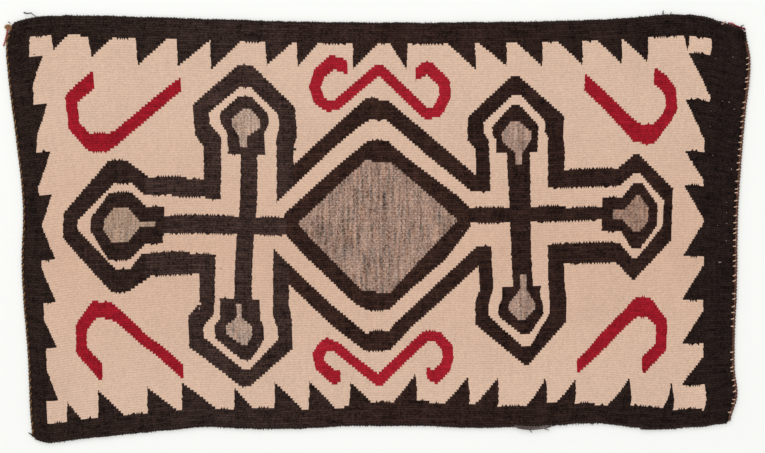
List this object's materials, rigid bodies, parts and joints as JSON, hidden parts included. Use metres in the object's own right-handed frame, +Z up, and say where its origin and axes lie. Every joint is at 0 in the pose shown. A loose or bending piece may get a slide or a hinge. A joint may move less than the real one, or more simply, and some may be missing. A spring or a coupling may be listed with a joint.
{
  "type": "handwoven wool rug",
  "caption": "Flat handwoven wool rug with a toothed dark border, stepped crosses and a diamond on cream, twisted cords along its edges and yarn ties at two corners.",
  "frame": {"origin": "on the surface that the rug lies on, below the middle of its box", "axes": "+X along the warps and the rug's long side, +Y across the ribs, +Z up out of the upper face"},
  "size_m": [1.2498, 0.7154, 0.0055],
  "materials": {
    "woven_wool": "matte ribbed wool tapestry, cream field with brown-black, grey and red yarns",
    "dark_side_cord": "matte dark brown-black plied wool",
    "tan_end_cord": "matte tan and brown plied wool",
    "brown_end_cord": "matte brown, tan and red plied wool",
    "tan_tie_yarn": "matte tan wool yarn with a red end",
    "red_tie_yarn": "matte red wool yarn"
  },
  "bodies": {
    "root": {"rug_panel": "woven_wool", "side_cord_top": "dark_side_cord", "side_cord_bottom": "dark_side_cord", "end_cord_left": "tan_end_cord", "end_cord_right": "brown_end_cord", "corner_tie_top_left": "tan_tie_yarn", "corner_tie_top_right": "red_tie_yarn"}
  },
  "joints": []
}
